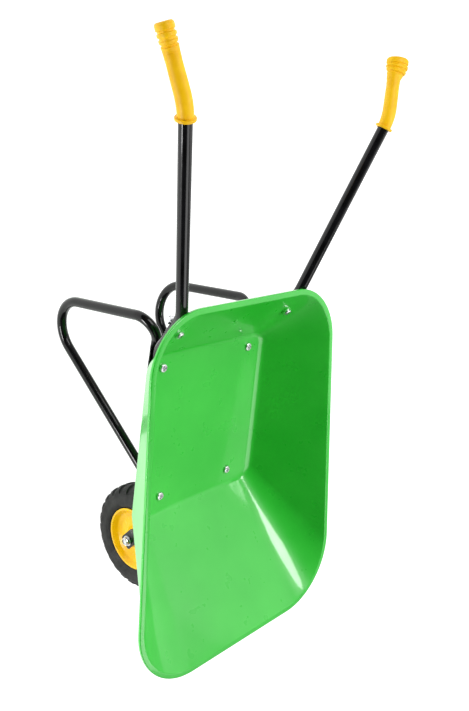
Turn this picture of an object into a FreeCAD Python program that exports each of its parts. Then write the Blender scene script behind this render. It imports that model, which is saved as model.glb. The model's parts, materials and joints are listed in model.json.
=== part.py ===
"""A small garden wheelbarrow with a pressed steel tray, two one-piece handle tubes, two bent
leg tubes and one wheel.

Millimetres. +X is forward (the wheel), +Y is the barrow's left, +Z is up. The origin is on the
ground, under the centre of the overall box, with the barrow standing on its wheel and legs.
"""
import FreeCAD, Part
import math
import os

V = FreeCAD.Vector

# ---- driving dimensions ----------------------------------------------------------------------
TUBE_R = 8.0              # handle tube, outer radius
LEG_R = 7.2               # leg tube, outer radius
TUBE_WALL = 1.2           # wall of both tubes
SHEET = 1.0               # steel of the tray

WHEEL_X = 334.6           # wheel axis
WHEEL_Z = 87.4
TYRE_R = 87.4
TYRE_HALF = 26.5
RIM_LIP_R = 52.0
RIM_LIP_Y = 23.0
AXLE_R = 4.0
FORK_Y = 27.8             # inner face of the flattened fork ends

FLOOR_REAR = V(-22.0, 115.0, 216.7)     # inner corners of the tray floor
FLOOR_FRONT = V(223.0, 123.5, 198.8)
RIM_REAR = V(-104.0, 179.7, 296.6)      # outer edge of the rim flange
RIM_FRONT = V(415.0, 209.0, 317.7)
FLANGE = 8.0              # width of the rim flange
HEM_DEPTH = 4.0           # turned-down edge of the flange
RIM_CORNER_REAR = 87.0
RIM_CORNER_FRONT = 98.0
FLOOR_CORNER = 23.0
FLOOR_FILLET = 17.0       # bend between floor and walls, inside

GRIP_TIP = V(-420.0, 216.8, 336.7)
GRIP_BASE = V(-327.3, 189.3, 345.4)
HANDLE_AT_RIM = V(-115.6, 123.9, 284.9)
RAIL_REAR_Y = 86.4        # rails under the floor bolts
RAIL_FRONT_Y = 70.8
REAR_BOLT_X = -3.3        # floor bolts, on the inner face of the floor
FRONT_BOLT_X = 198.0
WALL_BOLT_UP = 65.6       # rear-wall bolts, distance up the wall from the floor corner
PAD_R = 8.0               # flat pad in the corner bend under each rear-wall screw
PAD_H = 2.7
RAIL_END_X = 226.0        # where the rail turns down to the axle

FOOT = V(-57.9, 104.3, -48.55)          # meeting point of the two straight runs of a leg
LEG_TOP = V(-73.0, 101.9, 215.0)        # and of the rear run with the leg's top
FOOT_BEND = 46.2          # centre-line radius at the foot
LEG_TOP_BEND = 24.0

BOLT_R = 3.0              # M6 screws
HOLE_R = 3.3
HEAD_R = 6.2
HEAD_H = 3.6
NUT_AF = 10.0
NUT_H = 5.0
WASHER_R = 6.3
WASHER_H = 1.2
SIDES = (("left", 1), ("right", -1))


# ---- helpers ---------------------------------------------------------------------------------
def unit(vector):
    return V(vector).normalize()


def mirrored(point, side):
    """The point on the left (side 1) or its mirror image on the right (side -1)."""
    return V(point.x, point.y * side, point.z)


def cylinder(radius, height, start, axis):
    return Part.makeCylinder(radius, height, start, axis)


def rounded_path(points, radii):
    """A wire of straight runs joined by tangent arcs, one radius for each inner point."""
    edges = []
    start = points[0]
    for before, corner, after, radius in zip(points, points[1:], points[2:], radii):
        back = unit(before - corner)
        ahead = unit(after - corner)
        half = back.getAngle(ahead) / 2.0
        reach = radius / math.tan(half)
        middle = corner + unit(back + ahead) * (radius / math.sin(half) - radius)
        first = corner + back * reach
        last = corner + ahead * reach
        edges.append(Part.makeLine(start, first))
        edges.append(Part.Arc(first, middle, last).toShape())
        start = last
    edges.append(Part.makeLine(start, points[-1]))
    return Part.Wire(edges)


def sweep(path, radius):
    """A solid rod along a path that starts with a straight run."""
    first = path.Edges[0]
    start = first.valueAt(first.FirstParameter)
    profile = Part.Wire([Part.makeCircle(radius, start, first.tangentAt(first.FirstParameter))])
    return path.makePipeShell([profile], True, False)


def tube(path, outer_r, inner_r):
    return sweep(path, outer_r).cut(sweep(path, inner_r))


def rounded_loop(corners, radii):
    """A closed flat outline with rounded corners."""
    count = len(corners)
    tangents = []
    for i in range(count):
        corner = corners[i]
        back = unit(corners[i - 1] - corner)
        ahead = unit(corners[(i + 1) % count] - corner)
        half = back.getAngle(ahead) / 2.0
        reach = radii[i] / math.tan(half)
        middle = corner + unit(back + ahead) * (radii[i] / math.sin(half) - radii[i])
        tangents.append((corner + back * reach, middle, corner + ahead * reach))
    edges = []
    for i in range(count):
        edges.append(Part.Arc(*tangents[i]).toShape())
        edges.append(Part.makeLine(tangents[i][2], tangents[(i + 1) % count][0]))
    return Part.Wire(edges)


def trapezoid(rear, front, grow, drop, rear_r, front_r):
    """The outline through two mirrored corner pairs, grown sideways and along, and lowered."""
    along = unit(V(front.x - rear.x, 0, front.z - rear.z))
    back = V(rear.x, rear.y + grow, rear.z - drop) - along * grow
    nose = V(front.x, front.y + grow, front.z - drop) + along * grow
    corners = [back, nose, mirrored(nose, -1), mirrored(back, -1)]
    radii = [rear_r + grow, front_r + grow, front_r + grow, rear_r + grow]
    return rounded_loop(corners, radii)


def hexagon(across_flats, height, start, axis):
    """A hexagonal prism that grows from start along axis."""
    side = unit(axis.cross(V(0, 1, 0)) if abs(axis.y) < 0.9 else V(1, 0, 0))
    reach = across_flats / 2.0 / math.cos(math.pi / 6)
    turn = FreeCAD.Rotation(axis, 60)
    corners = [side * reach]
    for _ in range(5):
        corners.append(turn.multVec(corners[-1]))
    outline = Part.makePolygon([start + corner for corner in corners + corners[:1]])
    return Part.Face(outline).extrude(unit(axis) * height)


def save(name, solids):
    """Writes one node: a single solid, or a group of separate ones."""
    shape = solids[0] if len(solids) == 1 else Part.makeCompound(solids)
    shape.exportStep("parts/%s.step" % name)
    volume = sum(solid.Volume for solid in solids)
    print("%-22s solids %d volume %.0f valid %s" % (name, len(solids), volume, shape.isValid()))


# ---- tray ------------------------------------------------------------------------------------
FLOOR_DIR = unit(V(FLOOR_FRONT.x - FLOOR_REAR.x, 0, FLOOR_FRONT.z - FLOOR_REAR.z))
FLOOR_OUT = V(FLOOR_DIR.z, 0, -FLOOR_DIR.x)             # away from the load, under the floor
MOUTH_REAR = V(RIM_REAR.x + FLANGE, RIM_REAR.y - FLANGE, RIM_REAR.z)
MOUTH_FRONT = V(RIM_FRONT.x - FLANGE, RIM_FRONT.y - FLANGE, RIM_FRONT.z)
WALL_DIR = unit(V(MOUTH_REAR.x - FLOOR_REAR.x, 0, MOUTH_REAR.z - FLOOR_REAR.z))
WALL_OUT = V(-WALL_DIR.z, 0, WALL_DIR.x)                # behind the rear wall


def floor_point(x, y):
    """A point on the inner face of the floor."""
    return V(x, y, FLOOR_REAR.z + (x - FLOOR_REAR.x) * FLOOR_DIR.z / FLOOR_DIR.x)


def wall_point(up, y):
    """A point on the inner face of the rear wall, a distance up from the floor corner."""
    return V(FLOOR_REAR.x, y, FLOOR_REAR.z) + WALL_DIR * up


def pan(grow, drop, fillet):
    """The solid that fills the tray: flat floor, sloped walls, rounded floor edge."""
    top_r = (RIM_CORNER_REAR - FLANGE, RIM_CORNER_FRONT - FLANGE)
    bottom = trapezoid(FLOOR_REAR, FLOOR_FRONT, grow, drop, FLOOR_CORNER, FLOOR_CORNER)
    top = trapezoid(MOUTH_REAR, MOUTH_FRONT, grow, drop, *top_r)
    block = Part.makeLoft([bottom, top], True, True)
    floor_face = min(block.Faces, key=lambda face: face.CenterOfMass.z)
    return block.makeFillet(fillet, floor_face.Edges)


def tray():
    grow = SHEET * 0.45
    shell = pan(grow, SHEET, FLOOR_FILLET + SHEET)
    rim_args = (RIM_REAR, RIM_FRONT)
    corners = (RIM_CORNER_REAR, RIM_CORNER_FRONT)
    outer = Part.Face(trapezoid(*rim_args, 0.0, 0.0, *corners))
    inset = Part.Face(trapezoid(*rim_args, -SHEET, 0.0, *corners))
    down = V(0, 0, -1)
    flange = outer.extrude(down * SHEET)
    hem = outer.extrude(down * HEM_DEPTH).cut(inset.extrude(down * HEM_DEPTH))
    body = shell.fuse([flange, hem])
    inner = pan(0.0, 0.0, FLOOR_FILLET)
    lip = Part.Face(trapezoid(MOUTH_REAR, MOUTH_FRONT, 0.0, 0.0, corners[0] - FLANGE,
                              corners[1] - FLANGE)).extrude(V(0, 0, 2.0))
    body = body.cut(inner.fuse(lip))
    for _, side in SIDES:
        wall_seat, wall_out = tray_bolts(side)[2]
        body = body.fuse(cylinder(PAD_R, PAD_H + SHEET * 0.5, wall_seat - wall_out * PAD_H, wall_out))
        for point, out in tray_bolts(side):
            body = body.cut(cylinder(HOLE_R, 20.0, point - out * 10.0, out))
    return body.removeSplitter()


def tray_bolts(side):
    """Seat and direction of the three bolts on one side: front floor, rear floor, rear wall."""
    wall_y = WALL_BOLT_Y * side
    return ((floor_point(FRONT_BOLT_X, RAIL_FRONT_Y * side), FLOOR_OUT),
            (floor_point(REAR_BOLT_X, RAIL_REAR_Y * side), FLOOR_OUT),
            (wall_point(WALL_BOLT_UP, wall_y), WALL_OUT))


# ---- handle tubes ----------------------------------------------------------------------------
SEAT = SHEET + TUBE_R     # from the inner face of the sheet to the middle of a tube behind it


def meet(point_a, dir_a, point_b, dir_b):
    """Where two lines cross in the side view."""
    cross = dir_a.x * dir_b.z - dir_a.z * dir_b.x
    gap = point_b - point_a
    t = (gap.x * dir_b.z - gap.z * dir_b.x) / cross
    return point_a + dir_a * t


RUN_DIR = unit(GRIP_BASE - HANDLE_AT_RIM)
RAIL_DIR = V(FLOOR_DIR.x, (RAIL_FRONT_Y - RAIL_REAR_Y) / (FRONT_BOLT_X - REAR_BOLT_X), FLOOR_DIR.z)
RAIL_REAR = floor_point(REAR_BOLT_X, RAIL_REAR_Y) + FLOOR_OUT * SEAT
RAIL_FRONT = floor_point(FRONT_BOLT_X, RAIL_FRONT_Y) + FLOOR_OUT * SEAT
WALL_SEAT = wall_point(WALL_BOLT_UP, 0) + WALL_OUT * SEAT
UPPER_BEND = meet(HANDLE_AT_RIM, RUN_DIR, WALL_SEAT, WALL_DIR)
LOWER_BEND = meet(RAIL_FRONT, unit(RAIL_REAR - RAIL_FRONT), WALL_SEAT, WALL_DIR)
WALL_BOLT_Y = LOWER_BEND.y + (UPPER_BEND.y - LOWER_BEND.y) * (
    (WALL_SEAT.x - LOWER_BEND.x) / (UPPER_BEND.x - LOWER_BEND.x))
GRIP_BEND = GRIP_BASE + RUN_DIR * 15.0
TUBE_END = GRIP_TIP + unit(GRIP_BEND - GRIP_TIP) * 9.0
RAIL_END = RAIL_FRONT + unit(RAIL_FRONT - RAIL_REAR) * (RAIL_END_X - FRONT_BOLT_X)
PLATE_T = 2.0 * TUBE_WALL             # a tube pressed flat
PLATE_HALF = 12.0                     # half width of the flattened fork end
AXLE = V(WHEEL_X, FORK_Y + PLATE_T / 2.0, WHEEL_Z)
FORK_DIR = unit(V(WHEEL_X - RAIL_END.x, 0, WHEEL_Z - RAIL_END.z))
FORK_BEND = AXLE - FORK_DIR * 46.0 + V(0, 2.0, 0)
FORK_ROUND = AXLE - FORK_DIR * 34.0   # the tube is still round here
FORK_FLAT = AXLE - FORK_DIR * 17.0    # and flat from here on
GRIP_TURN = 70.0                      # centre-line bend radii
WALL_TURN = 40.0
CREASE_TURN = 25.0
FORK_TURN = 45.0


def handle_path():
    points = [TUBE_END, GRIP_BEND, UPPER_BEND, LOWER_BEND, RAIL_END, FORK_BEND, FORK_ROUND]
    return rounded_path(points, [GRIP_TURN, WALL_TURN, CREASE_TURN, FORK_TURN, 20.0])


def flat_outline(centre, along, wide, thick, half_width):
    """A rounded strip section, half_width either way along wide, for a pressed tube."""
    half = thick / 2.0
    up = unit(along.cross(wide)) * half
    reach = unit(wide) * (half_width - half)
    right = centre + reach
    left = centre - reach
    edges = [Part.makeLine(left + up, right + up),
             Part.Arc(right + up, right + unit(wide) * half, right - up).toShape(),
             Part.makeLine(right - up, left - up),
             Part.Arc(left - up, left - unit(wide) * half, left + up).toShape()]
    return Part.Wire(edges)


def round_outline(centre, along, wide, radius):
    """A circle cut into four arcs, in the order of flat_outline's edges."""
    up = unit(along.cross(wide)) * radius
    right = unit(wide) * radius
    quarter = math.sqrt(0.5)
    corners = [centre + (up - right) * quarter, centre + (up + right) * quarter,
               centre + (right - up) * quarter, centre - (up + right) * quarter]
    middles = [centre + up, centre + right, centre - up, centre - right]
    edges = []
    for i in range(4):
        edges.append(Part.Arc(corners[i], middles[i], corners[(i + 1) % 4]).toShape())
    return Part.Wire(edges)


def pressed_end(round_at, flat_at, end_at, radius, wide, half_width):
    """A tube end pressed flat: a solid that goes from round to a strip with a square end."""
    along = unit(end_at - flat_at)
    tube_dir = unit(flat_at - round_at)
    tube_wide = unit(wide - tube_dir * wide.dot(tube_dir))
    squash = Part.makeLoft([round_outline(round_at, tube_dir, tube_wide, radius),
                            flat_outline(flat_at, along, wide, PLATE_T, half_width)], True, True)
    strip = Part.Face(flat_outline(flat_at, along, wide, PLATE_T, half_width))
    return squash.fuse(strip.extrude(end_at - flat_at))


def handle_tube():
    body = tube(handle_path(), TUBE_R, TUBE_R - TUBE_WALL)
    wide = FORK_DIR.cross(V(0, 1, 0))
    body = body.fuse(pressed_end(FORK_ROUND, FORK_FLAT, AXLE + FORK_DIR * 11.0, TUBE_R, wide,
                                 PLATE_HALF))
    body = body.cut(cylinder(AXLE_R + 0.1, 20.0, AXLE - V(0, 10, 0), V(0, 1, 0)))
    for point, out in tray_bolts(1):
        body = body.cut(cylinder(HOLE_R, 40.0, point - out * 10.0, out))
    return body


# ---- legs ------------------------------------------------------------------------------------
LEG_SEAT = SHEET + 2.0 * TUBE_R + PLATE_T / 2.0         # middle of a leg's flat end
LEG_PLATE_HALF = 10.5
REAR_TAB = floor_point(REAR_BOLT_X, RAIL_REAR_Y) + FLOOR_OUT * LEG_SEAT
FRONT_TAB = floor_point(FRONT_BOLT_X, RAIL_FRONT_Y) + FLOOR_OUT * LEG_SEAT
TAB_END = 9.0             # flat steel past the bolt
REAR_AWAY = unit(-FLOOR_DIR - V(0, 0.07, 0))
FRONT_AWAY = unit(-FLOOR_DIR + V(0, 0.12, 0))


REAR_FLAT = REAR_TAB + REAR_AWAY * 22.0                 # flat steel ends here
REAR_ROUND = REAR_TAB + REAR_AWAY * 34.0 + FLOOR_OUT * 0.9      # and it is round from here
FRONT_FLAT = FRONT_TAB + FRONT_AWAY * 12.0
FRONT_ROUND = FRONT_FLAT + unit(FOOT - FRONT_FLAT) * 22.0


def leg():
    path = rounded_path([REAR_ROUND, LEG_TOP, FOOT, FRONT_ROUND], [LEG_TOP_BEND, FOOT_BEND])
    body = tube(path, LEG_R, LEG_R - TUBE_WALL)
    ends = ((REAR_TAB, REAR_AWAY, REAR_ROUND, REAR_FLAT),
            (FRONT_TAB, FRONT_AWAY, FRONT_ROUND, FRONT_FLAT))
    for tab, away, round_at, flat_at in ends:
        wide = away.cross(FLOOR_OUT)
        body = body.fuse(pressed_end(round_at, flat_at, tab - away * TAB_END, LEG_R, wide,
                                     LEG_PLATE_HALF))
        body = body.cut(cylinder(HOLE_R, 20.0, tab - FLOOR_OUT * 10.0, FLOOR_OUT))
    return body


# ---- grips -----------------------------------------------------------------------------------
GRIP_R = 9.3
GRIP_COLLAR_R = 12.0
GRIP_COLLAR = 3.5
KNOB_LONG = 15.2          # the flared end is an oval that leans out and up
KNOB_SHORT = 10.6
KNOB_SHIFT = 2.4
KNOB_LEN = 30.0
GRIP_FIT = 0.05           # between grip and tube


def lean_dir(along, side):
    """The long axis of the knob: square to the grip, up and outboard."""
    lean = V(0, side, 1)
    return unit(lean - along * lean.dot(along))


def grip(side):
    """A moulded sleeve: collar, slightly bent round body and a flared oval knob."""
    base = mirrored(GRIP_BASE, side)
    bend = mirrored(GRIP_BEND, side)
    tip = mirrored(GRIP_TIP, side)
    run = mirrored(RUN_DIR, side)
    along = unit(tip - bend)
    shift = lean_dir(along, side) * KNOB_SHIFT
    neck = tip - along * KNOB_LEN
    swell = tip - along * (KNOB_LEN * 0.45)
    crown = tip - along * 4.5
    body = sweep(rounded_path([base, bend, neck], [GRIP_TURN]), GRIP_R)
    rings = ((neck, GRIP_R + 0.5, GRIP_R - 0.1),
             (swell + shift, KNOB_LONG - 0.8, KNOB_SHORT - 0.3),
             (crown + shift, KNOB_LONG, KNOB_SHORT),
             (tip + shift, KNOB_LONG * 0.62, KNOB_SHORT * 0.62))
    wide = lean_dir(along, side)
    knob = Part.makeLoft([flat_outline(centre, along, wide, 2.0 * short_r, long_r)
                          for centre, long_r, short_r in rings], True, True)
    collar = cylinder(GRIP_COLLAR_R, GRIP_COLLAR, base, run)
    bore_end = mirrored(TUBE_END, side) + along * GRIP_FIT
    bore = sweep(rounded_path([base - run * 5.0, bend, bore_end], [GRIP_TURN]), TUBE_R + GRIP_FIT)
    return body.fuse([knob, collar]).cut(bore)


# ---- wheel -----------------------------------------------------------------------------------
def turned(profile):
    """Spins a closed outline of (radius, y) points about the wheel axis."""
    points = [V(WHEEL_X + radius, y, WHEEL_Z) for radius, y in profile]
    face = Part.Face(Part.makePolygon(points + points[:1]))
    return face.revolve(V(WHEEL_X, 0, WHEEL_Z), V(0, 1, 0), 360)


BEAD_R = 50.0             # seat of the tyre on the rim
HUB_R = 9.0
HUB_HALF = 22.0
BUSH_R = 6.5
BUSH_FIT = 0.06           # running fit on the axle
BUSH_LEN = 10.0
BUSH_FLANGE_R = 9.0
BUSH_FLANGE = 1.5


def rim_disc(side):
    """One dished half of the rim; the two halves meet at the middle plane."""
    wall = 2.4
    outline = [(HUB_R + 0.05, 0.0), (BEAD_R - 4.0, 0.0), (BEAD_R - 4.0, 8.0), (BEAD_R, 12.0),
               (BEAD_R, RIM_LIP_Y - 2.0), (RIM_LIP_R, RIM_LIP_Y - 1.0), (RIM_LIP_R, RIM_LIP_Y),
               (RIM_LIP_R - 2.5, RIM_LIP_Y), (BEAD_R - 4.0 - wall, 15.0), (36.0, 12.0),
               (22.0, 12.5), (15.0, 19.5), (HUB_R + 0.05, 19.5)]
    hollow = [(BEAD_R - 4.0 - wall, wall), (BEAD_R - 4.0 - wall, 9.0), (36.0, 12.0 - wall),
              (22.0, 12.5 - wall), (16.5, 12.5 - wall), (16.5, wall)]
    disc = turned([(r, y * side) for r, y in outline])
    return disc.cut(turned([(r, y * side) for r, y in hollow]))


def tyre():
    """A fat ring with rounded shoulders that wraps the rim."""
    half = [(BEAD_R + 0.05 - 4.0, 0.0), (BEAD_R + 0.05 - 4.0, 8.0), (BEAD_R + 0.05, 12.0),
            (BEAD_R + 0.05, 20.0), (RIM_LIP_R + 0.4, 21.0), (RIM_LIP_R + 2.0, 24.0), (58.0, 25.8),
            (65.0, TYRE_HALF), (72.0, 25.6), (78.5, 22.8), (83.5, 18.0), (86.4, 10.0), (TYRE_R, 0.0)]
    outline = half + [(r, -y) for r, y in reversed(half[1:-1])]
    return turned(outline)


def hub():
    body = cylinder(HUB_R, 2 * HUB_HALF, V(WHEEL_X, -HUB_HALF, WHEEL_Z), V(0, 1, 0))
    return body.cut(cylinder(BUSH_R + 0.02, 2 * HUB_HALF, V(WHEEL_X, -HUB_HALF, WHEEL_Z), V(0, 1, 0)))


def bush(side):
    face = V(WHEEL_X, HUB_HALF * side, WHEEL_Z)
    out = V(0, side, 0)
    body = cylinder(BUSH_R, BUSH_LEN, face - out * BUSH_LEN, out)
    body = body.fuse(cylinder(BUSH_FLANGE_R, BUSH_FLANGE, face, out))
    return body.cut(cylinder(AXLE_R + BUSH_FIT, 40.0, face - out * 20.0, out))


SPACER_R = 6.5
SPACER_IN = HUB_HALF + BUSH_FLANGE + 0.3


def spacer(side):
    start = V(WHEEL_X, SPACER_IN * side, WHEEL_Z)
    out = V(0, side, 0)
    body = cylinder(SPACER_R, FORK_Y - SPACER_IN, start, out)
    return body.cut(cylinder(AXLE_R + 0.1, 20.0, start - out * 5.0, out))


AXLE_WASHER_R = 8.5
AXLE_WASHER_H = 1.4
AXLE_NUT_AF = 13.0
AXLE_NUT_H = 6.0
AXLE_OUT = FORK_Y + PLATE_T           # outer face of a fork end


def axle_washer(side):
    start = V(WHEEL_X, AXLE_OUT * side, WHEEL_Z)
    out = V(0, side, 0)
    body = cylinder(AXLE_WASHER_R, AXLE_WASHER_H, start, out)
    return body.cut(cylinder(AXLE_R + 0.2, 10.0, start - out * 5.0, out))


def axle_bolt():
    """Hexagon head on the left, thread end flush with the nut on the right."""
    head_face = V(WHEEL_X, AXLE_OUT + AXLE_WASHER_H, WHEEL_Z)
    length = 2 * (AXLE_OUT + AXLE_WASHER_H) + AXLE_NUT_H - 1.0
    head = hexagon(AXLE_NUT_AF, 5.3, head_face, V(0, 1, 0))
    return cylinder(AXLE_R, length, head_face, V(0, -1, 0)).fuse(head)


def axle_nut():
    start = V(WHEEL_X, -AXLE_OUT - AXLE_WASHER_H, WHEEL_Z)
    out = V(0, -1, 0)
    body = hexagon(AXLE_NUT_AF, AXLE_NUT_H, start, out)
    return body.cut(cylinder(AXLE_R + 0.02, 20.0, start - out * 5.0, out))


# ---- fasteners -------------------------------------------------------------------------------
def screw(seat, out, length):
    """A pan-head screw whose head sits on the sheet, with its shank going out."""
    head = cylinder(HEAD_R, HEAD_H, seat - out * HEAD_H, out)
    top = min(head.Edges, key=lambda edge: edge.CenterOfMass.dot(out))
    head = head.makeFillet(2.0, [top])
    body = head.fuse(cylinder(BOLT_R, length, seat, out))
    wide = 1.5
    long = 7.0
    slot = Part.makeBox(wide, long, wide * 2.0, V(-wide / 2.0, -long / 2.0, -wide))
    cross = slot.fuse(Part.makeBox(long, wide, wide * 2.0, V(-long / 2.0, -wide / 2.0, -wide)))
    cross.Placement = FreeCAD.Placement(seat - out * HEAD_H, FreeCAD.Rotation(V(0, 0, 1), out))
    return body.cut(cross)


def ring(radius, hole, height, start, out):
    body = cylinder(radius, height, start, out)
    return body.cut(cylinder(hole, height + 2.0, start - out, out))


def nut(start, out):
    body = hexagon(NUT_AF, NUT_H, start, out)
    return body.cut(cylinder(BOLT_R + 0.02, 20.0, start - out * 5.0, out))


# The three bolt places: how far out of the sheet's inner face the washer starts, and how far in
# of it the screw's head sits.
UNDER_RAIL = SHEET + 2.0 * TUBE_R
UNDER_LEG = UNDER_RAIL + PLATE_T
STACKS = {"front_floor": (0, UNDER_LEG, 0.0), "rear_floor": (1, UNDER_LEG, 0.0),
          "rear_wall": (2, UNDER_RAIL, PAD_H)}


def write_fasteners():
    for name, (index, depth, lift) in STACKS.items():
        screws = []
        washers = []
        nuts = []
        for _, side in SIDES:
            seat, out = tray_bolts(side)[index]
            length = lift + depth + WASHER_H + NUT_H + 1.5
            screws.append(screw(seat - out * lift, out, length))
            washers.append(ring(WASHER_R, HOLE_R, WASHER_H, seat + out * depth, out))
            nuts.append(nut(seat + out * (depth + WASHER_H), out))
        save(name + "_bolts", screws)
        save(name + "_washers", washers)
        save(name + "_nuts", nuts)


def write_pair(name, shape):
    """The left piece, and its mirror image as the right one."""
    save("left_" + name, [shape])
    save("right_" + name, [shape.mirror(V(0, 0, 0), V(0, 1, 0))])


os.makedirs("parts", exist_ok=True)
save("tray", [tray()])
write_pair("handle_tube", handle_tube())
write_pair("leg", leg())
save("wheel_hub", [hub()])
for side_name, side_sign in SIDES:
    save(side_name + "_grip", [grip(side_sign)])
    save(side_name + "_rim_disc", [rim_disc(side_sign)])
    save(side_name + "_hub_bush", [bush(side_sign)])
    save(side_name + "_axle_spacer", [spacer(side_sign)])
save("tyre", [tyre()])
save("axle_bolt", [axle_bolt()])
save("axle_washers", [axle_washer(1), axle_washer(-1)])
save("axle_nut", [axle_nut()])
write_fasteners()
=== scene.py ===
"""The looks of a small garden wheelbarrow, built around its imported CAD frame.

Metres. +X is forward (the wheel), +Y is the barrow's left, +Z is up, and the ground is z = 0.
Dimensions are written in millimetres, as in the CAD source, and go through mm() once.
"""
import json
import math

import bmesh
import bpy
from mathutils import Matrix, Vector


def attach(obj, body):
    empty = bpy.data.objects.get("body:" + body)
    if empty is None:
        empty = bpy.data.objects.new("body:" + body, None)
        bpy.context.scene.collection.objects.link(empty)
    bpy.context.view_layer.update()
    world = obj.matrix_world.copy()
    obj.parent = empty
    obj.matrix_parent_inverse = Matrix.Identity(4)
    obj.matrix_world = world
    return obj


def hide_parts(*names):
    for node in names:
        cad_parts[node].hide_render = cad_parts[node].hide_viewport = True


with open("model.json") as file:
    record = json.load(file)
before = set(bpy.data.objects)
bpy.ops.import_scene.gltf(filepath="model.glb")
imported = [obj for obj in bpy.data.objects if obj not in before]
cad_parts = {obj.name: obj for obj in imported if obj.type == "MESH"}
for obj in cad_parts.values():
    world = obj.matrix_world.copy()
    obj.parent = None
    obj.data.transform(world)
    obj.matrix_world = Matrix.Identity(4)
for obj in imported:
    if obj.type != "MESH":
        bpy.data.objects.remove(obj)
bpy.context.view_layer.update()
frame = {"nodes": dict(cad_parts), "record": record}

MM = 0.001
X = Vector((1, 0, 0))
Y = Vector((0, 1, 0))
Z = Vector((0, 0, 1))
SIDES = (("left", 1), ("right", -1))
ROUND_STEPS = 56          # points round a tube


def mm(x, y, z):
    """A point given in millimetres."""
    return Vector((x, y, z)) * MM


# ---- driving dimensions, as in the CAD source --------------------------------------------------
TUBE_R = 8.0 * MM
LEG_R = 7.2 * MM
TUBE_WALL = 1.2 * MM
SHEET = 1.0 * MM

WHEEL = mm(334.6, 0, 87.4)
TYRE_R = 87.4 * MM
TYRE_HALF = 26.5 * MM
FORK_Y = 27.8 * MM

FLOOR_REAR = mm(-22.0, 115.0, 216.7)
FLOOR_FRONT = mm(223.0, 123.5, 198.8)
RIM_REAR = mm(-104.0, 179.7, 296.6)
RIM_FRONT = mm(415.0, 209.0, 317.7)
FLANGE = 8.0 * MM
HEM_DEPTH = 4.0 * MM
MOUTH_BEND = 2.2 * MM      # between wall and flange
HEM_BEND = 1.4 * MM        # between flange and hem
RIM_CORNER_REAR = 87.0 * MM
RIM_CORNER_FRONT = 98.0 * MM
FLOOR_CORNER = 23.0 * MM
FLOOR_FILLET = 17.0 * MM

GRIP_TIP = mm(-420.0, 216.8, 336.7)
GRIP_BASE = mm(-327.3, 189.3, 345.4)
HANDLE_AT_RIM = mm(-115.6, 123.9, 284.9)
RAIL_REAR_Y = 86.4 * MM
RAIL_FRONT_Y = 70.8 * MM
REAR_BOLT_X = -3.3 * MM
FRONT_BOLT_X = 198.0 * MM
WALL_BOLT_UP = 65.6 * MM
PAD_R = 8.0 * MM
PAD_H = 2.7 * MM
PIP_R = 3.4 * MM          # small pressing in the middle of the rear wall
PIP_H = 0.9 * MM
RAIL_END_X = 226.0 * MM

FOOT = mm(-57.9, 104.3, -48.55)
LEG_TOP = mm(-73.0, 101.9, 215.0)
FOOT_BEND = 46.2 * MM
LEG_TOP_BEND = 24.0 * MM

PLATE_T = 2.0 * TUBE_WALL
FORK_PLATE_HALF = 12.0 * MM
LEG_PLATE_HALF = 10.5 * MM
WASHER_H = 1.2 * MM
NUT_AF = 10.0 * MM
NUT_H = 5.0 * MM
SCREW_R = 3.0 * MM
AXLE_R = 4.0 * MM
AXLE_WASHER_H = 1.4 * MM
AXLE_NUT_AF = 13.0 * MM
AXLE_NUT_H = 6.0 * MM


# ---- curves ------------------------------------------------------------------------------------
def mirrored(point, side):
    return Vector((point.x, point.y * side, point.z))


def arc_points(first, corner, last, steps):
    """Points of the round stretch that is tangent at first and last and turns at corner."""
    back = (first - corner).normalized()
    ahead = (last - corner).normalized()
    weight = math.sin(back.angle(ahead) / 2.0)
    points = []
    for i in range(steps + 1):
        t = i / steps
        shares = ((1 - t) ** 2, 2 * weight * t * (1 - t), t * t)
        total = sum(shares)
        points.append((first * shares[0] + corner * shares[1] + last * shares[2]) / total)
    return points


def corner_arc(before, corner, after, radius, steps):
    back = (before - corner).normalized()
    ahead = (after - corner).normalized()
    reach = radius / math.tan(back.angle(ahead) / 2.0)
    return arc_points(corner + back * reach, corner, corner + ahead * reach, steps)


def rounded_path(points, radii, steps=14):
    """Straight runs joined by tangent arcs, as a list of points."""
    path = [points[0]]
    for before, corner, after, radius in zip(points, points[1:], points[2:], radii):
        path += corner_arc(before, corner, after, radius, steps)
    return path + [points[-1]]


def spread(path, spacing):
    """The same path with points added, so that no two are further apart than spacing."""
    made = [path[0]]
    for start, end in zip(path, path[1:]):
        count = max(1, math.ceil((end - start).length / spacing))
        made += [start.lerp(end, i / count) for i in range(1, count + 1)]
    return made


def smooth(t):
    """0 to 1 with level ends."""
    t = min(1.0, max(0.0, t))
    return t * t * (3 - 2 * t)


def mix(a, b, t):
    return a + (b - a) * t


# ---- meshes ------------------------------------------------------------------------------------
def skin(rings, loop=False, caps=True):
    """Vertices and faces of a surface through closed rings of equal length."""
    count = len(rings[0])
    vertices = [point for ring in rings for point in ring]
    faces = []
    last = len(rings) if loop else len(rings) - 1
    for i in range(last):
        here = i * count
        there = (i + 1) % len(rings) * count
        for j in range(count):
            k = (j + 1) % count
            faces.append((here + j, here + k, there + k, there + j))
    if caps and not loop:
        faces.append(tuple(reversed(range(count))))
        faces.append(tuple(range((len(rings) - 1) * count, len(rings) * count)))
    return vertices, faces


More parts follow.
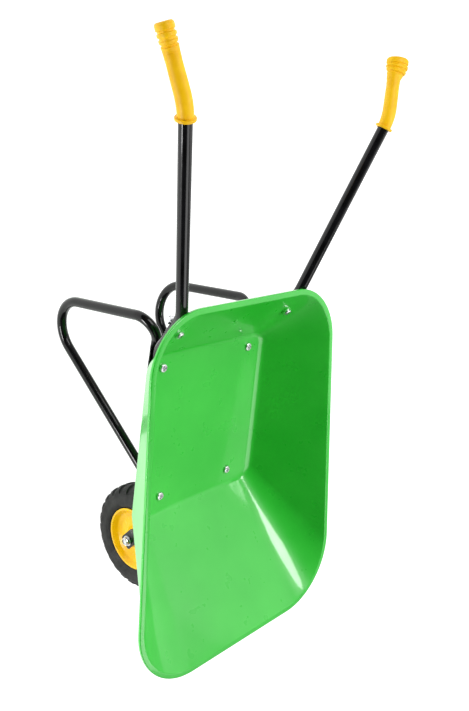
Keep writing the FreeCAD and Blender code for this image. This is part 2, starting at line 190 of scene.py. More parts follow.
def make_piece(name, parts, material, body, nodes=(), sharp_deg=38.0):
    """One object from a list of (vertices, faces), smooth shaded up to a crease angle."""
    work = bmesh.new()
    for vertices, faces in parts:
        corners = [work.verts.new(point) for point in vertices]
        for face in faces:
            work.faces.new([corners[i] for i in face])
    bmesh.ops.recalc_face_normals(work, faces=work.faces)
    mesh = bpy.data.meshes.new(name)
    work.to_mesh(mesh)
    work.free()
    mesh.polygons.foreach_set("use_smooth", [True] * len(mesh.polygons))
    mesh.set_sharp_from_angle(angle=math.radians(sharp_deg))
    mesh.materials.append(material)
    piece = bpy.data.objects.new(name, mesh)
    bpy.context.scene.collection.objects.link(piece)
    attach(piece, body)
    if nodes:
        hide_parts(*nodes)
    return piece


def section(centre, along, reference, half_a, half_b, power=1.0):
    """A ring square to along: half_a along the reference, half_b across it. Power 1 is an oval."""
    a_dir = (reference - along * reference.dot(along)).normalized()
    b_dir = a_dir.cross(along)
    ring = []
    for i in range(ROUND_STEPS):
        angle = 2 * math.pi * (i + 0.5) / ROUND_STEPS
        c = math.cos(angle)
        s = math.sin(angle)
        a = half_a * math.copysign(abs(c) ** power, c)
        b = half_b * math.copysign(abs(s) ** power, s)
        ring.append(centre + a_dir * a + b_dir * b)
    return ring


def sweep(stations, reference):
    """A rod through stations of (centre, half_a, half_b, power)."""
    rings = []
    for i, (centre, half_a, half_b, power) in enumerate(stations):
        before = stations[max(i - 1, 0)][0]
        after = stations[min(i + 1, len(stations) - 1)][0]
        rings.append(section(centre, (after - before).normalized(), reference, half_a, half_b, power))
    return skin(rings)


def turned(profile, steps=160):
    """A closed outline of (radius, y) spun about the wheel's axle."""
    rings = []
    for i in range(steps):
        angle = 2 * math.pi * i / steps
        out = X * math.cos(angle) + Z * math.sin(angle)
        rings.append([WHEEL + out * radius + Y * y for radius, y in profile])
    return skin(rings, loop=True)


def softened(points, radii, steps=6):
    """A closed outline of (radius, y) in millimetres with a radius at each corner."""
    corners = [mm(radius, y, 0) for radius, y in points]
    count = len(corners)
    outline = []
    for i in range(count):
        arc = corner_arc(corners[i - 1], corners[i], corners[(i + 1) % count], radii[i] * MM, steps)
        outline += [(point.x, point.y) for point in arc]
    return outline


# ---- materials ---------------------------------------------------------------------------------
class Finish:
    """A Principled material with helpers for object-space noise."""

    def __init__(self, name, **sockets):
        self.material = bpy.data.materials.new(name)
        self.material.use_nodes = True
        self.tree = self.material.node_tree
        self.shader = self.tree.nodes["Principled BSDF"]
        for label, value in sockets.items():
            self.shader.inputs[label.replace("_", " ")].default_value = value
        self.place = self.tree.nodes.new("ShaderNodeTexCoord").outputs["Object"]

    def noise(self, scale, detail):
        """Noise with scale bumps to the metre."""
        node = self.tree.nodes.new("ShaderNodeTexNoise")
        node.inputs["Scale"].default_value = scale
        node.inputs["Detail"].default_value = detail
        self.tree.links.new(self.place, node.inputs["Vector"])
        return node.outputs["Fac"]

    def cells(self, scale):
        """Rounded cells, with scale cells to the metre."""
        node = self.tree.nodes.new("ShaderNodeTexVoronoi")
        node.inputs["Scale"].default_value = scale
        self.tree.links.new(self.place, node.inputs["Vector"])
        return node.outputs["Distance"]

    def colour(self, source, dark, light):
        """Base colour that drifts from dark to light with the source."""
        ramp = self.tree.nodes.new("ShaderNodeValToRGB")
        ramp.color_ramp.elements[0].position = 0.35
        ramp.color_ramp.elements[0].color = (*dark, 1)
        ramp.color_ramp.elements[1].position = 0.65
        ramp.color_ramp.elements[1].color = (*light, 1)
        self.tree.links.new(source, ramp.inputs["Fac"])
        self.tree.links.new(ramp.outputs["Color"], self.shader.inputs["Base Color"])

    def roughness(self, source, smoothest, roughest):
        """Roughness that follows the source."""
        remap = self.tree.nodes.new("ShaderNodeMapRange")
        remap.inputs["From Min"].default_value = 0.3
        remap.inputs["From Max"].default_value = 0.7
        remap.inputs["To Min"].default_value = smoothest
        remap.inputs["To Max"].default_value = roughest
        self.tree.links.new(source, remap.inputs["Value"])
        self.tree.links.new(remap.outputs["Result"], self.shader.inputs["Roughness"])

    def relief(self, *layers):
        """Bump from (source, height in metres) layers, one over the other."""
        normal = None
        for source, height in layers:
            bump = self.tree.nodes.new("ShaderNodeBump")
            bump.inputs["Distance"].default_value = height
            self.tree.links.new(source, bump.inputs["Height"])
            if normal:
                self.tree.links.new(normal, bump.inputs["Normal"])
            normal = bump.outputs["Normal"]
        self.tree.links.new(normal, self.shader.inputs["Normal"])


def tray_paint():
    """Glossy green enamel with a faint shade drift and orange peel."""
    finish = Finish("tray_paint", Coat_Weight=0.5, Coat_Roughness=0.06, Specular_IOR_Level=0.45)
    finish.colour(finish.noise(9.0, 4.0), (0.022, 0.530, 0.030), (0.036, 0.590, 0.042))
    finish.roughness(finish.noise(45.0, 3.0), 0.27, 0.31)
    finish.relief((finish.noise(320.0, 2.0), 0.00001), (finish.noise(9.0, 1.0), 0.0003))
    return finish.material


def tube_paint():
    """Glossy black powder coat."""
    finish = Finish("tube_paint", Specular_IOR_Level=0.15, Coat_Weight=0.5, Coat_Roughness=0.04)
    finish.colour(finish.noise(40.0, 5.0), (0.001, 0.001, 0.001), (0.005, 0.005, 0.006))
    finish.roughness(finish.noise(120.0, 5.0), 0.16, 0.28)
    finish.relief((finish.noise(700.0, 2.0), 0.00004))
    return finish.material


def grip_plastic():
    """Yellow moulded plastic with a fine spark-eroded texture."""
    finish = Finish("grip_plastic", Specular_IOR_Level=0.3)
    finish.colour(finish.noise(55.0, 4.0), (0.900, 0.490, 0.001), (0.980, 0.580, 0.003))
    finish.roughness(finish.noise(300.0, 4.0), 0.36, 0.5)
    finish.relief((finish.cells(1500.0), 0.00005), (finish.noise(90.0, 3.0), 0.00012))
    return finish.material


def rim_plastic():
    """Glossy yellow moulded plastic."""
    finish = Finish("rim_plastic", Specular_IOR_Level=0.4)
    finish.colour(finish.noise(30.0, 4.0), (0.940, 0.500, 0.001), (1.000, 0.600, 0.002))
    finish.roughness(finish.noise(90.0, 4.0), 0.18, 0.32)
    finish.relief((finish.noise(240.0, 3.0), 0.00004))
    return finish.material


def tyre_rubber():
    """Dark rubber with a dull bloom and a fine grain."""
    finish = Finish("tyre_rubber", Specular_IOR_Level=0.4)
    finish.colour(finish.noise(35.0, 6.0), (0.006, 0.006, 0.006), (0.020, 0.020, 0.019))
    finish.roughness(finish.noise(80.0, 5.0), 0.5, 0.75)
    finish.relief((finish.noise(900.0, 4.0), 0.00012))
    return finish.material


def zinc_steel():
    """Bright zinc plate with a light haze."""
    finish = Finish("zinc_steel", Metallic=1.0)
    finish.colour(finish.noise(260.0, 4.0), (0.62, 0.63, 0.65), (0.80, 0.81, 0.82))
    finish.roughness(finish.noise(500.0, 5.0), 0.18, 0.38)
    finish.relief((finish.noise(1500.0, 2.0), 0.00003))
    return finish.material


def hub_plastic():
    """Dark moulded plastic."""
    finish = Finish("hub_plastic")
    finish.colour(finish.noise(80.0, 4.0), (0.018, 0.018, 0.020), (0.032, 0.032, 0.034))
    finish.roughness(finish.noise(200.0, 4.0), 0.38, 0.55)
    finish.relief((finish.noise(900.0, 3.0), 0.00004))
    return finish.material


def bush_plastic():
    """Pale bearing plastic, a little waxy."""
    finish = Finish("bush_plastic", Subsurface_Weight=0.1, Subsurface_Scale=0.002)
    finish.colour(finish.noise(120.0, 3.0), (0.70, 0.70, 0.66), (0.80, 0.80, 0.77))
    finish.roughness(finish.noise(300.0, 4.0), 0.35, 0.5)
    finish.relief((finish.noise(900.0, 2.0), 0.00003))
    return finish.material


MATERIALS = {
    "tray_paint": tray_paint(),
    "tube_paint": tube_paint(),
    "grip_plastic": grip_plastic(),
    "rim_plastic": rim_plastic(),
    "tyre_rubber": tyre_rubber(),
    "zinc_steel": zinc_steel(),
    "hub_plastic": hub_plastic(),
    "bush_plastic": bush_plastic(),
}


def dress_cad_nodes():
    """Gives every carried-over CAD node the finish of its material slot."""
    for subpart in frame["record"]["subparts"]:
        data = frame["nodes"][subpart["node"]].data
        data.materials.clear()
        data.materials.append(MATERIALS[subpart["material_slot"]])


# ---- tray --------------------------------------------------------------------------------------
FLOOR_DIR = Vector((FLOOR_FRONT.x - FLOOR_REAR.x, 0, FLOOR_FRONT.z - FLOOR_REAR.z)).normalized()
FLOOR_OUT = Vector((FLOOR_DIR.z, 0, -FLOOR_DIR.x))
MOUTH_REAR = RIM_REAR + Vector((FLANGE, -FLANGE, 0))
MOUTH_FRONT = RIM_FRONT - Vector((FLANGE, FLANGE, 0))
WALL_DIR = Vector((MOUTH_REAR.x - FLOOR_REAR.x, 0, MOUTH_REAR.z - FLOOR_REAR.z)).normalized()
WALL_OUT = Vector((-WALL_DIR.z, 0, WALL_DIR.x))


def floor_point(x, y):
    return Vector((x, y, FLOOR_REAR.z + (x - FLOOR_REAR.x) * FLOOR_DIR.z / FLOOR_DIR.x))


def wall_point(up, y):
    return Vector((FLOOR_REAR.x, y, FLOOR_REAR.z)) + WALL_DIR * up


def tray_outline(rear, front, rear_r, front_r, arc_steps=20, line_steps=12):
    """Points round the tray through two mirrored corner pairs, corners rounded."""
    corners = [rear, front, mirrored(front, -1), mirrored(rear, -1)]
    radii = [rear_r, front_r, front_r, rear_r]
    arcs = []
    for i in range(4):
        arcs.append(corner_arc(corners[i - 1], corners[i], corners[(i + 1) % 4], radii[i], arc_steps))
    outline = []
    for i in range(4):
        outline += arcs[i]
        start = arcs[i][-1]
        end = arcs[(i + 1) % 4][0]
        outline += [start.lerp(end, j / line_steps) for j in range(1, line_steps)]
    return outline


def tray():
    """Makes the tray: flat floor, ruled walls, round floor edge, flat flange, turned-down hem."""
    floor_edge = tray_outline(FLOOR_REAR, FLOOR_FRONT, FLOOR_CORNER, FLOOR_CORNER)
    mouth = tray_outline(MOUTH_REAR, MOUTH_FRONT, RIM_CORNER_REAR - FLANGE, RIM_CORNER_FRONT - FLANGE)
    rim = tray_outline(RIM_REAR, RIM_FRONT, RIM_CORNER_REAR, RIM_CORNER_FRONT)
    floor_up = -FLOOR_OUT
    floor_middle = (FLOOR_REAR + FLOOR_FRONT) / 2.0
    floor_middle.y = 0.0
    columns = []
    count = len(floor_edge)
    for i in range(count):
        base = floor_edge[i]
        top = mouth[i]
        edge = rim[i]
        tangent = (floor_edge[(i + 1) % count] - floor_edge[i - 1]).normalized()
        inward = floor_up.cross(tangent).normalized()
        if inward.dot(floor_middle - base) < 0:
            inward.negate()
        up = (top - base).normalized()
        out = (edge - top).normalized()
        fillet_reach = FLOOR_FILLET / math.tan(inward.angle(up) / 2.0)
        mouth_reach = MOUTH_BEND / math.tan((-up).angle(out) / 2.0)
        wall_start = base + up * fillet_reach
        wall_end = top - up * mouth_reach
        column = arc_points(base + inward * fillet_reach, base, wall_start, 8)
        column += [wall_start.lerp(wall_end, j / 14) for j in range(1, 14)]
        column += arc_points(wall_end, top, top + out * mouth_reach, 5)
        column += arc_points(edge - out * HEM_BEND, edge, edge - Z * HEM_BEND, 5)
        column.append(edge - Z * HEM_DEPTH)
        columns.append(column)
    rings = [[column[j] for column in columns] for j in range(len(columns[0]))]
    vertices, faces = skin(rings, caps=False)
    faces.append(tuple(range(count)))
    piece = make_piece("tray_shell", [(vertices, faces)], MATERIALS["tray_paint"], "barrow",
                       ["tray"], sharp_deg=50.0)
    mesh = piece.data
    floor_face = mesh.polygons[len(mesh.polygons) - 1]
    if floor_face.normal.z < 0:
        mesh.flip_normals()
    thickness = piece.modifiers.new("sheet", "SOLIDIFY")
    thickness.thickness = SHEET
    thickness.offset = -1.0


# ---- handle tubes ------------------------------------------------------------------------------
def meet(point_a, dir_a, point_b, dir_b):
    """Where two lines cross in the side view."""
    cross = dir_a.x * dir_b.z - dir_a.z * dir_b.x
    gap = point_b - point_a
    return point_a + dir_a * ((gap.x * dir_b.z - gap.z * dir_b.x) / cross)


SEAT = SHEET + TUBE_R
RUN_DIR = (GRIP_BASE - HANDLE_AT_RIM).normalized()
RAIL_REAR = floor_point(REAR_BOLT_X, RAIL_REAR_Y) + FLOOR_OUT * SEAT
RAIL_FRONT = floor_point(FRONT_BOLT_X, RAIL_FRONT_Y) + FLOOR_OUT * SEAT
WALL_SEAT = wall_point(WALL_BOLT_UP, 0) + WALL_OUT * SEAT
UPPER_BEND = meet(HANDLE_AT_RIM, RUN_DIR, WALL_SEAT, WALL_DIR)
LOWER_BEND = meet(RAIL_FRONT, (RAIL_REAR - RAIL_FRONT).normalized(), WALL_SEAT, WALL_DIR)
WALL_BOLT_Y = mix(LOWER_BEND.y, UPPER_BEND.y,
                  (WALL_SEAT.x - LOWER_BEND.x) / (UPPER_BEND.x - LOWER_BEND.x))
GRIP_BEND = GRIP_BASE + RUN_DIR * 15.0 * MM
TUBE_END = GRIP_TIP + (GRIP_BEND - GRIP_TIP).normalized() * 9.0 * MM
RAIL_END = RAIL_FRONT + (RAIL_FRONT - RAIL_REAR).normalized() * (RAIL_END_X - FRONT_BOLT_X)
AXLE = WHEEL + Y * (FORK_Y + PLATE_T / 2.0)
FORK_DIR = Vector((WHEEL.x - RAIL_END.x, 0, WHEEL.z - RAIL_END.z)).normalized()
FORK_BEND = AXLE - FORK_DIR * 46.0 * MM + Y * 2.0 * MM
FORK_ROUND = AXLE - FORK_DIR * 34.0 * MM
FORK_FLAT = AXLE - FORK_DIR * 17.0 * MM
FORK_TIP = AXLE + FORK_DIR * 11.0 * MM
GRIP_TURN = 70.0 * MM
WALL_TURN = 40.0 * MM
CREASE_TURN = 25.0 * MM
FORK_TURN = 45.0 * MM
FORK_END_TURN = 20.0 * MM
FLAT_POWER = 0.5          # how square the section of a pressed end is


def pressed(round_at, flat_at, end_at, radius, flat_a, flat_b, corner=3.0 * MM):
    """Stations of a tube end that goes from round to a flat strip with softened end corners."""
    stations = []
    wide_is_a = flat_a > flat_b
    for i in range(13):
        t = i / 12
        grow = smooth(t)
        stations.append((round_at.lerp(flat_at, t), mix(radius, flat_a, grow),
                         mix(radius, flat_b, grow), mix(1.0, FLAT_POWER, grow)))
    along = (end_at - flat_at).normalized()
    for i in range(6):
        angle = math.pi / 2 * i / 5
        cut = corner * (1 - math.cos(angle))
        centre = end_at - along * corner * (1 - math.sin(angle))
        a = flat_a - cut if wide_is_a else flat_a
        b = flat_b if wide_is_a else flat_b - cut
        stations.append((centre, a, b, FLAT_POWER))
    return stations


def round_stations(path, radius):
    return [(point, radius, radius, 1.0) for point in spread(path, 12.0 * MM)]


def handle_tube(side):
    """One length of tube from inside the grip to the flat fork end."""
    turns = [GRIP_TURN, WALL_TURN, CREASE_TURN, FORK_TURN, FORK_END_TURN]
    path = rounded_path([TUBE_END, GRIP_BEND, UPPER_BEND, LOWER_BEND, RAIL_END, FORK_BEND,
                         FORK_ROUND], turns)
    stations = round_stations(path, TUBE_R)[:-1]
    stations += pressed(FORK_ROUND, FORK_FLAT, FORK_TIP, TUBE_R, PLATE_T / 2.0, FORK_PLATE_HALF)
    return sweep([(mirrored(centre, side), a, b, p) for centre, a, b, p in stations], Y)


# ---- legs --------------------------------------------------------------------------------------
LEG_SEAT = SHEET + 2.0 * TUBE_R + PLATE_T / 2.0
REAR_TAB = floor_point(REAR_BOLT_X, RAIL_REAR_Y) + FLOOR_OUT * LEG_SEAT
FRONT_TAB = floor_point(FRONT_BOLT_X, RAIL_FRONT_Y) + FLOOR_OUT * LEG_SEAT
TAB_END = 9.0 * MM
REAR_AWAY = (-FLOOR_DIR - Y * 0.07).normalized()
FRONT_AWAY = (-FLOOR_DIR + Y * 0.12).normalized()
REAR_FLAT = REAR_TAB + REAR_AWAY * 22.0 * MM
REAR_ROUND = REAR_TAB + REAR_AWAY * 34.0 * MM + FLOOR_OUT * 0.9 * MM
FRONT_FLAT = FRONT_TAB + FRONT_AWAY * 12.0 * MM
FRONT_ROUND = FRONT_FLAT + (FOOT - FRONT_FLAT).normalized() * 22.0 * MM


def leg(side):
    """A tube bent to a V with a round foot, both ends pressed flat under the rail."""
    path = rounded_path([REAR_ROUND, LEG_TOP, FOOT, FRONT_ROUND], [LEG_TOP_BEND, FOOT_BEND], 20)
    rear = pressed(REAR_ROUND, REAR_FLAT, REAR_TAB - REAR_AWAY * TAB_END, LEG_R, LEG_PLATE_HALF,
                   PLATE_T / 2.0)
    front = pressed(FRONT_ROUND, FRONT_FLAT, FRONT_TAB - FRONT_AWAY * TAB_END, LEG_R,
                    LEG_PLATE_HALF, PLATE_T / 2.0)
    stations = rear[::-1] + round_stations(path, LEG_R)[1:-1] + front
    return sweep([(mirrored(centre, side), a, b, p) for centre, a, b, p in stations], Y)


# ---- grips -------------------------------------------------------------------------------------
GRIP_R = 9.3 * MM
GRIP_WAIST_R = 8.9 * MM   # beside the collar, where the body is thinnest
COLLAR_R = 12.0 * MM
COLLAR_LEN = 3.5 * MM
COLLAR_EDGE = 0.8 * MM
KNOB_LONG = 15.2 * MM
KNOB_SHORT = 10.6 * MM
KNOB_SHIFT = 2.4 * MM
KNOB_LEN = 30.0 * MM
GROOVES = (9.5 * MM, 15.5 * MM, 21.5 * MM)        # from the tip
GROOVE_DEPTH = 1.5 * MM
GROOVE_HALF = 1.25 * MM
DOME = 4.0 * MM
DOME_FLAT = 0.72          # share of the knob that its flat end takes


def knob_sizes(from_tip):
    """Half the long and the short width of the knob and its sideways shift."""
    grow = smooth((KNOB_LEN - from_tip) / (KNOB_LEN * 0.6))
    long_r = mix(GRIP_R + 0.4 * MM, KNOB_LONG, grow)
    short_r = mix(GRIP_R, KNOB_SHORT, grow)
    groove = sum(math.exp(-((from_tip - g) / GROOVE_HALF) ** 4) for g in GROOVES) * GROOVE_DEPTH
    if from_tip < DOME:
        share = math.sqrt(max(0.0, 1 - (1 - from_tip / DOME) ** 2))
        long_r *= mix(DOME_FLAT, 1.0, share)
        short_r *= mix(DOME_FLAT, 1.0, share)
    return long_r - groove, short_r - groove, KNOB_SHIFT * grow


def grip(side):
    """Collar, slightly barrelled round body and a ringed oval knob with a domed end."""
    base = mirrored(GRIP_BASE, side)
    bend = mirrored(GRIP_BEND, side)
    tip = mirrored(GRIP_TIP, side)
    run = mirrored(RUN_DIR, side)
    along = (tip - bend).normalized()
    reference = Vector((0, side, 1))
    lean = (reference - along * reference.dot(along)).normalized()
    neck = tip - along * KNOB_LEN
    stations = []
    for i in range(5):
        angle = math.pi / 2 * i / 4
        radius = COLLAR_R - COLLAR_EDGE * (1 - math.sin(angle))
        stations.append((base + run * COLLAR_EDGE * (1 - math.cos(angle)), radius, radius, 1.0))
    for i in range(5):
        angle = math.pi / 2 * i / 4
        radius = COLLAR_R - COLLAR_EDGE * (1 - math.cos(angle))
        centre = base + run * (COLLAR_LEN - COLLAR_EDGE * (1 - math.sin(angle)))
        stations.append((centre, radius, radius, 1.0))
    body = spread(rounded_path([base + run * (COLLAR_LEN + 0.4 * MM), bend, neck], [GRIP_TURN]),
                  3.0 * MM)
    for i, centre in enumerate(body):
        t = i / (len(body) - 1)
        swell = math.sin(math.pi * t * 1.1) ** 0.8 if t < 0.9 else 0.6
        radius = mix(GRIP_WAIST_R, GRIP_R + 0.1 * MM, swell)
        stations.append((centre, radius, radius, 1.0))
    steps = 90
    for i in range(1, steps + 1):
        from_tip = KNOB_LEN * (1 - i / steps)
        long_r, short_r, shift = knob_sizes(from_tip)
        stations.append((tip - along * from_tip + lean * shift, long_r, short_r, 1.0))
    return sweep(stations, reference)


# ---- wheel -------------------------------------------------------------------------------------
LUGS = 26
LUG_SAMPLES = ((0.0, 0.0), (0.07, 1.0), (0.26, 1.0), (0.45, 1.0), (0.52, 0.0), (0.76, 0.0))
TYRE_MIDDLE_R = 67.4 * MM  # middle of the tyre's section
TYRE_SEAT_R = 50.2 * MM    # flat seat on the rim
SIDEWALL_LINES = (61 * MM, 72 * MM)  # radii of the raised lines
TREAD_DEPTH = 3.2 * MM
TREAD_SLANT = 5.0         # degrees that a lug runs back from the middle to the shoulder


def tyre_section():
    """(radius, y, tread, groove) round the tyre's section: tread is 1 where lugs stand at full
    height, and groove is 1 in the line round the middle."""
    reach = TYRE_R - TYRE_MIDDLE_R
    steps = 88
    outline = []
    for i in range(steps):
        angle = 2 * math.pi * i / steps
        c = math.cos(angle)
        s = math.sin(angle)
        radius = TYRE_MIDDLE_R + reach * math.copysign(abs(c) ** 0.75, c)
        y = (TYRE_HALF - 0.4 * MM) * math.copysign(abs(s) ** 0.75, s)
        radius = max(radius, TYRE_SEAT_R)
        tread = smooth((radius - 76.0 * MM) / (3.0 * MM))
        centre_groove = 1 - smooth(abs(y) / (1.0 * MM) - 1.2)
        outline.append((radius, y, tread, centre_groove))
    return outline


def tyre():
    """A fat rubber ring with slanted lugs and two raised lines on each sidewall."""
    outline = tyre_section()
    rings = []
    for lug in range(LUGS):
        for share, height in LUG_SAMPLES:
            turn = 2 * math.pi * (lug + share) / LUGS
            ring = []
            for radius, y, tread, centre_groove in outline:
                lowered = max(1 - height, centre_groove * 0.8) * tread * TREAD_DEPTH
                line = sum(math.exp(-((radius - at) / (0.9 * MM)) ** 2) for at in SIDEWALL_LINES)
                bulge = 0.4 * MM * line * (abs(y) > TYRE_HALF * 0.6)
                angle = turn - math.radians(TREAD_SLANT) * abs(y) / TYRE_HALF * tread
                out = X * math.cos(angle) + Z * math.sin(angle)
                ring.append(WHEEL + out * (radius - lowered) + Y * (y + math.copysign(bulge, y)))
            rings.append(ring)
    return skin(rings, loop=True)


def rim_disc(side):
    """One dished half of the rim, with a rolled lip and a raised boss."""
    points = [(9.3, 2.4), (43.6, 2.4), (43.6, 9.0), (48.0, 13.0), (48.0, 22.0), (49.8, 23.0),
              (51.9, 23.0), (51.9, 21.4), (50.0, 20.4), (50.0, 12.0), (46.0, 8.0), (46.0, 0.1),
              (9.3, 0.1)]
    radii = [0.4, 1.2, 1.6, 1.6, 0.8, 0.6, 0.6, 0.4, 0.5, 1.5, 1.5, 0.6, 0.4]
    barrel = softened(points, radii)
    face = softened([(9.3, 19.4), (14.6, 19.4), (20.5, 12.6), (35.0, 11.8), (43.0, 15.6),
                     (48.6, 22.9), (51.9, 22.9), (51.9, 21.2), (47.8, 20.4), (42.2, 13.6),
                     (35.0, 9.6), (19.6, 10.2), (13.6, 17.0), (9.3, 17.0)],
                    [0.5, 2.0, 4.5, 6.0, 7.0, 1.0, 0.6, 0.6, 1.0, 6.0, 5.0, 3.0, 1.5, 0.4], 8)
    parts = []
    for outline in (barrel, face):
        parts.append(turned([(radius, y * side) for radius, y in outline]))
    return parts


# ---- nuts --------------------------------------------------------------------------------------
def nut(start, out, across, height, bore, collar=0.0):
    """A hexagon nut with chamfered corners that grows from start along out. A lock nut also has
    a round collar."""
    steps = 48
    flat = across / 2.0
    chamfer_from = flat * 0.96
    bore_edge = 0.08 * across
    side_dir = out.orthogonal().normalized()
    up_dir = out.cross(side_dir)
    tan_30 = math.tan(math.radians(30))
    columns = []
    for i in range(steps):
        angle = 2 * math.pi * i / steps
        corner_angle = (angle + math.pi / 6) % (math.pi / 3) - math.pi / 6
        corner = flat / math.cos(corner_angle)
        drop = max(0.0, corner - chamfer_from) * tan_30
        profile = [(bore, bore_edge), (bore + bore_edge, 0.0), (chamfer_from, 0.0), (corner, drop),
                   (corner, height - drop), (chamfer_from, height)]
        if collar:
            profile += [(flat * 0.86, height), (flat * 0.82, height + collar * 0.7),
                        (flat * 0.72, height + collar)]
        top = height + collar
        profile += [(bore + bore_edge, top), (bore, top - bore_edge)]
        direction = side_dir * math.cos(angle) + up_dir * math.sin(angle)
        columns.append([start + direction * r + out * h for r, h in profile])
    return skin(columns, loop=True)


# ---- assembly ----------------------------------------------------------------------------------
def bolt_places(side):
    """Seat on the sheet and direction of the front floor, rear floor and rear wall bolts."""
    return {"front_floor": (floor_point(FRONT_BOLT_X, RAIL_FRONT_Y * side), FLOOR_OUT),
            "rear_floor": (floor_point(REAR_BOLT_X, RAIL_REAR_Y * side), FLOOR_OUT),
            "rear_wall": (wall_point(WALL_BOLT_UP, WALL_BOLT_Y * side), WALL_OUT)}


def button(centre, out, radius, height, edge):
    """A round pressing that stands height proud of the sheet, with a rounded edge."""
    rings = [section(centre + out * SHEET * 0.4, out, Y, radius, radius)]
    steps = 6
    for i in range(steps + 1):
        angle = math.pi / 2 * i / steps
        reach = radius - edge * (1 - math.cos(angle))
        lift = height - edge * (1 - math.sin(angle))
        rings.append(section(centre - out * lift, out, Y, reach, reach))
    return skin(rings)


def assemble():
    """Makes every piece of the barrow."""
    dress_cad_nodes()
    tray()
    pips = [button(wall_point(WALL_BOLT_UP, 0), WALL_OUT, PIP_R, PIP_H, PIP_H)]
    for _, side in SIDES:
        seat, out = bolt_places(side)["rear_wall"]
        pips.append(button(seat, out, PAD_R, PAD_H, PAD_H * 0.6))
    make_piece("tray_pressings", pips, MATERIALS["tray_paint"], "barrow")
    for name, side in SIDES:
        make_piece(name + "_handle", [handle_tube(side)], MATERIALS["tube_paint"], "barrow",
                   [name + "_handle_tube"], sharp_deg=60.0)
        make_piece(name + "_leg_tube", [leg(side)], MATERIALS["tube_paint"], "barrow",
                   [name + "_leg"], sharp_deg=60.0)
        make_piece(name + "_hand_grip", [grip(side)], MATERIALS["grip_plastic"], "barrow",
                   [name + "_grip"], sharp_deg=50.0)
        make_piece(name + "_rim_half", rim_disc(side), MATERIALS["rim_plastic"], "wheel",
                   [name + "_rim_disc"])
    make_piece("tyre_ring", [tyre()], MATERIALS["tyre_rubber"], "wheel", ["tyre"],
               sharp_deg=32.0)
    under_rail = SHEET + 2.0 * TUBE_R + WASHER_H
    under_leg = under_rail + PLATE_T
    depths = {"front_floor": under_leg, "rear_floor": under_leg, "rear_wall": under_rail}
    for name, depth in depths.items():
        nuts = []
        for _, side in SIDES:
            seat, out = bolt_places(side)[name]
            nuts.append(nut(seat + out * depth, out, NUT_AF, NUT_H, SCREW_R))
        make_piece(name + "_hex_nuts", nuts, MATERIALS["zinc_steel"], "barrow",
                   [name + "_nuts"], sharp_deg=25.0)
    axle_face = WHEEL - Y * (FORK_Y + PLATE_T + AXLE_WASHER_H)
    make_piece("axle_lock_nut", [nut(axle_face, -Y, AXLE_NUT_AF, AXLE_NUT_H * 0.75, AXLE_R,
                                     AXLE_NUT_H * 0.25)],
               MATERIALS["zinc_steel"], "barrow", ["axle_nut"], sharp_deg=25.0)


# ---- camera, lights and floor ------------------------------------------------------------------
CAMERA_AT = Vector((-0.3409, -0.8112, 0.9807))
CAMERA_RIGHT = Vector((-0.05751, 0.67505, 0.73553))
CAMERA_DOWN = Vector((0.95259, -0.18337, 0.24277))
CAMERA_AHEAD = Vector((0.29876, 0.71463, -0.6325))
CAMERA_LENS = 41.415
CAMERA_SHIFT = (0.00365, 0.01429)


def add_camera():
    camera = bpy.data.objects.new("camera", bpy.data.cameras.new("camera"))
    bpy.context.scene.collection.objects.link(camera)
    turn = Matrix((CAMERA_RIGHT, -CAMERA_DOWN, -CAMERA_AHEAD)).transposed()
    camera.matrix_world = Matrix.Translation(CAMERA_AT) @ turn.to_4x4()
    camera.data.sensor_width = 36.0
    camera.data.lens = CAMERA_LENS
    camera.data.shift_x, camera.data.shift_y = CAMERA_SHIFT
    camera.data.clip_start = 0.01
    bpy.context.scene.camera = camera


def add_light(name, place, target, width, height, watts):
    light = bpy.data.lights.new(name, "AREA")
    light.shape = "RECTANGLE"
    light.size = width
    light.size_y = height
    light.energy = watts
    lamp = bpy.data.objects.new(name, light)
    bpy.context.scene.collection.objects.link(lamp)
    lamp.location = place
    lamp.rotation_euler = (Vector(target) - Vector(place)).to_track_quat("-Z", "Y").to_euler()


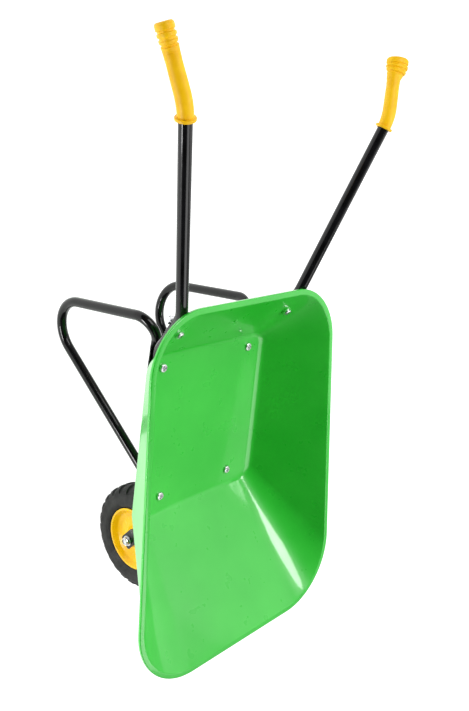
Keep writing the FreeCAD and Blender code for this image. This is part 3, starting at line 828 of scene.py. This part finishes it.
def add_stage():
    """A large white floor that the barrow stands on."""
    mesh = bpy.data.meshes.new("floor")
    half = 8.0
    corners = [(-half, -half, 0), (half, -half, 0), (half, half, 0), (-half, half, 0)]
    mesh.from_pydata(corners, [], [(0, 1, 2, 3)])
    floor = bpy.data.objects.new("floor", mesh)
    bpy.context.scene.collection.objects.link(floor)
    pale = Finish("pale_floor", Roughness=0.9, Base_Color=(0.35, 0.35, 0.35, 1),
                  Emission_Color=(1, 1, 1, 1), Emission_Strength=1.05)
    mesh.materials.append(pale.material)


def add_world():
    """A white studio, brighter on the barrow's left than on its right."""
    world = bpy.data.worlds.new("studio")
    bpy.context.scene.world = world
    world.use_nodes = True
    tree = world.node_tree
    tree.nodes["Background"].inputs["Color"].default_value = (1, 1, 1, 1)
    direction = tree.nodes.new("ShaderNodeTexCoord").outputs["Generated"]
    split = tree.nodes.new("ShaderNodeSeparateXYZ")
    ramp = tree.nodes.new("ShaderNodeMapRange")
    ramp.interpolation_type = "SMOOTHSTEP"
    ramp.inputs["From Min"].default_value = -0.3
    ramp.inputs["From Max"].default_value = 0.6
    ramp.inputs["To Min"].default_value = 0.05
    ramp.inputs["To Max"].default_value = 0.45
    tree.links.new(direction, split.inputs["Vector"])
    tree.links.new(split.outputs["Y"], ramp.inputs["Value"])
    tree.links.new(ramp.outputs["Result"], tree.nodes["Background"].inputs["Strength"])


assemble()
add_camera()
add_stage()
add_world()
add_light("back_panel", (-0.15, 1.5, 1.35), (0.1, 0, 0.25), 1.6, 1.2, 6)
add_light("front_panel", (0.95, 0.25, 1.55), (0.1, 0, 0.25), 1.0, 1.0, 9)
add_light("top_panel", (-0.30, 0.60, 1.77), (0.32, 0.13, 0.27), 0.36, 0.36, 8)
add_light("rear_panel", (-1.3, 0.0, 1.6), (0.1, 0, 0.25), 1.2, 1.0, 16)
add_light("low_fill", (0.30, -1.15, 0.12), (0.33, 0, 0.10), 0.5, 0.2, 7)
bpy.context.scene.view_settings.view_transform = "Standard"
